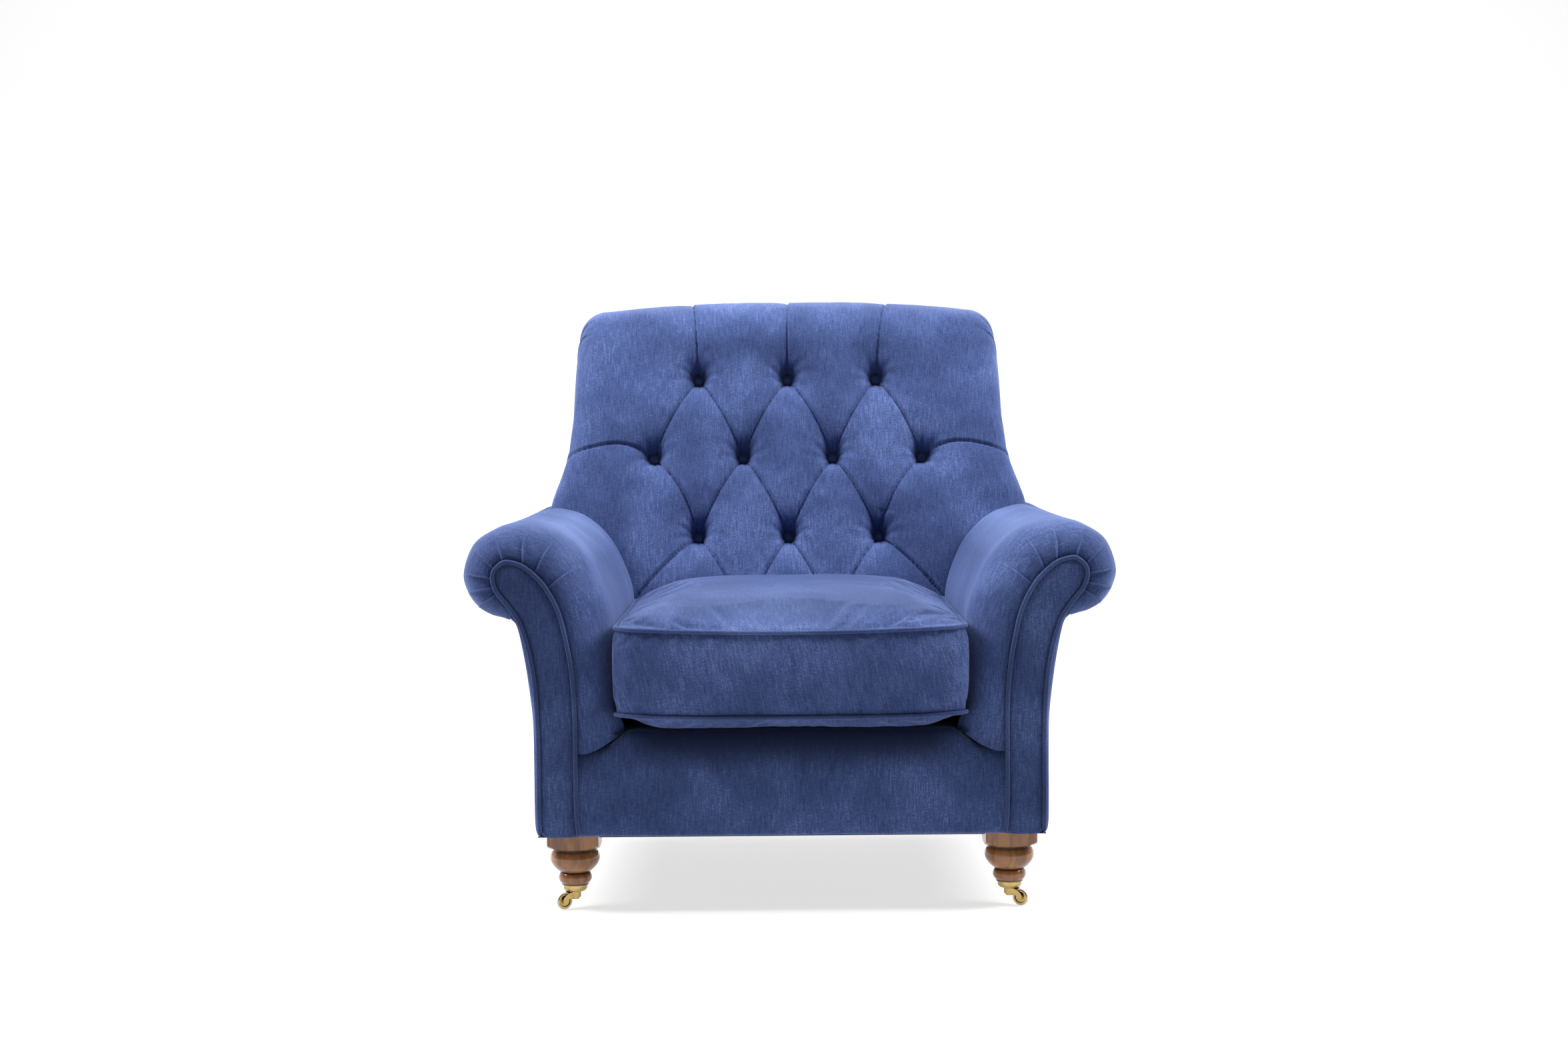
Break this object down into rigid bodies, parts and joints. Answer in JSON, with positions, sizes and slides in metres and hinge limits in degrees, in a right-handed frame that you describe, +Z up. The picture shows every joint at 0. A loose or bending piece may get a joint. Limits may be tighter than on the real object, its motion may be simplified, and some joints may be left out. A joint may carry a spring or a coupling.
{
  "type": "upholstered armchair",
  "caption": "Easy chair with scroll arms, a buttoned raked back, a loose piped seat cushion, turned front legs on swivel castors and plain raked back legs.",
  "frame": {"origin": "on the floor, under the middle of the chair's overall width and depth", "axes": "+Z up, +X to the right as seen from in front, the chair faces -Y"},
  "size_m": [0.98, 0.9, 0.944],
  "materials": {
    "velvet": "mottled blue velvet with a short pile",
    "velvet_piping": "the same velvet, on the cross over cord",
    "foam": "foam wrapped in wadding",
    "platform_cloth": "plain platform cloth",
    "dust_cloth": "black dust-cover cloth",
    "hessian": "open-weave hessian",
    "webbing": "elastic webbing",
    "twine": "waxed twine",
    "steel": "drawn and zinc-plated steel",
    "stained_wood": "walnut stain under gloss lacquer",
    "white_tread": "white glazed",
    "polished_brass": "polished, lacquered",
    "zip": "woven tape and moulded teeth",
    "frame_timber": "planed beech"
  },
  "bodies": {
    "chair": {"arm_facing_left": "velvet", "arm_facing_right": "velvet", "arm_pad_left": "velvet", "arm_pad_right": "velvet", "arm_post_left": "frame_timber", "arm_post_right": "frame_timber", "arm_rail_left": "frame_timber", "arm_rail_right": "frame_timber", "arm_tack_rail_left": "frame_timber", "arm_tack_rail_right": "frame_timber", "back_buttons": "velvet", "back_hessian": "hessian", "back_pad": "velvet", "back_post_left": "frame_timber", "back_post_right": "frame_timber", "back_tack_rail": "frame_timber", "back_top_rail": "frame_timber", "back_webbing": "webbing", "block_screws": "steel", "button_ties": "twine", "castor_cup_left": "polished_brass", "castor_cup_right": "polished_brass", "castor_pivot_left": "polished_brass", "castor_pivot_right": "polished_brass", "corner_blocks": "frame_timber", "cover_staples": "steel", "dust_cover": "dust_cloth", "facing_piping_left": "velvet_piping", "facing_piping_right": "velvet_piping", "front_border": "velvet", "front_leg_left": "stained_wood", "front_leg_right": "stained_wood", "front_rail": "frame_timber", "leg_bolts": "steel", "outside_arm_left": "velvet", "outside_arm_right": "velvet", "outside_back": "velvet", "rear_leg_left": "stained_wood", "rear_leg_right": "stained_wood", "rear_rail": "frame_timber", "seat_platform": "platform_cloth", "seat_springs": "steel", "side_rail_left": "frame_timber", "side_rail_right": "frame_timber", "spring_clips": "steel"},
    "seat_cushion": {"seat_cushion": "velvet", "cushion_core": "foam", "cushion_piping": "velvet_piping", "cushion_zip": "zip"},
    "castor_left": {"castor_fork_left": "polished_brass", "castor_axle_left": "polished_brass"},
    "wheel_left": {"castor_hub_left": "polished_brass", "castor_tread_left": "white_tread"},
    "castor_right": {"castor_fork_right": "polished_brass", "castor_axle_right": "polished_brass"},
    "wheel_right": {"castor_hub_right": "polished_brass", "castor_tread_right": "white_tread"}
  },
  "joints": [
    {"name": "cushion_lift", "type": "slide", "parent": "chair", "child": "seat_cushion", "axis": [0, 0, 1], "range_m": [0, 0.35]},
    {"name": "castor_swivel_left", "type": "hinge", "parent": "chair", "child": "castor_left", "pos_m": [-0.3275, -0.3825, 0.02], "axis": [0, 0, 1], "continuous": true},
    {"name": "wheel_spin_left", "type": "hinge", "parent": "castor_left", "child": "wheel_left", "pos_m": [-0.34482, -0.3925, 0.013], "axis": [0.5, -0.866, 0], "continuous": true},
    {"name": "castor_swivel_right", "type": "hinge", "parent": "chair", "child": "castor_right", "pos_m": [0.3275, -0.3825, 0.02], "axis": [0, 0, 1], "continuous": true},
    {"name": "wheel_spin_right", "type": "hinge", "parent": "castor_right", "child": "wheel_right", "pos_m": [0.34482, -0.3925, 0.013], "axis": [-0.5, -0.866, 0], "continuous": true}
  ]
}
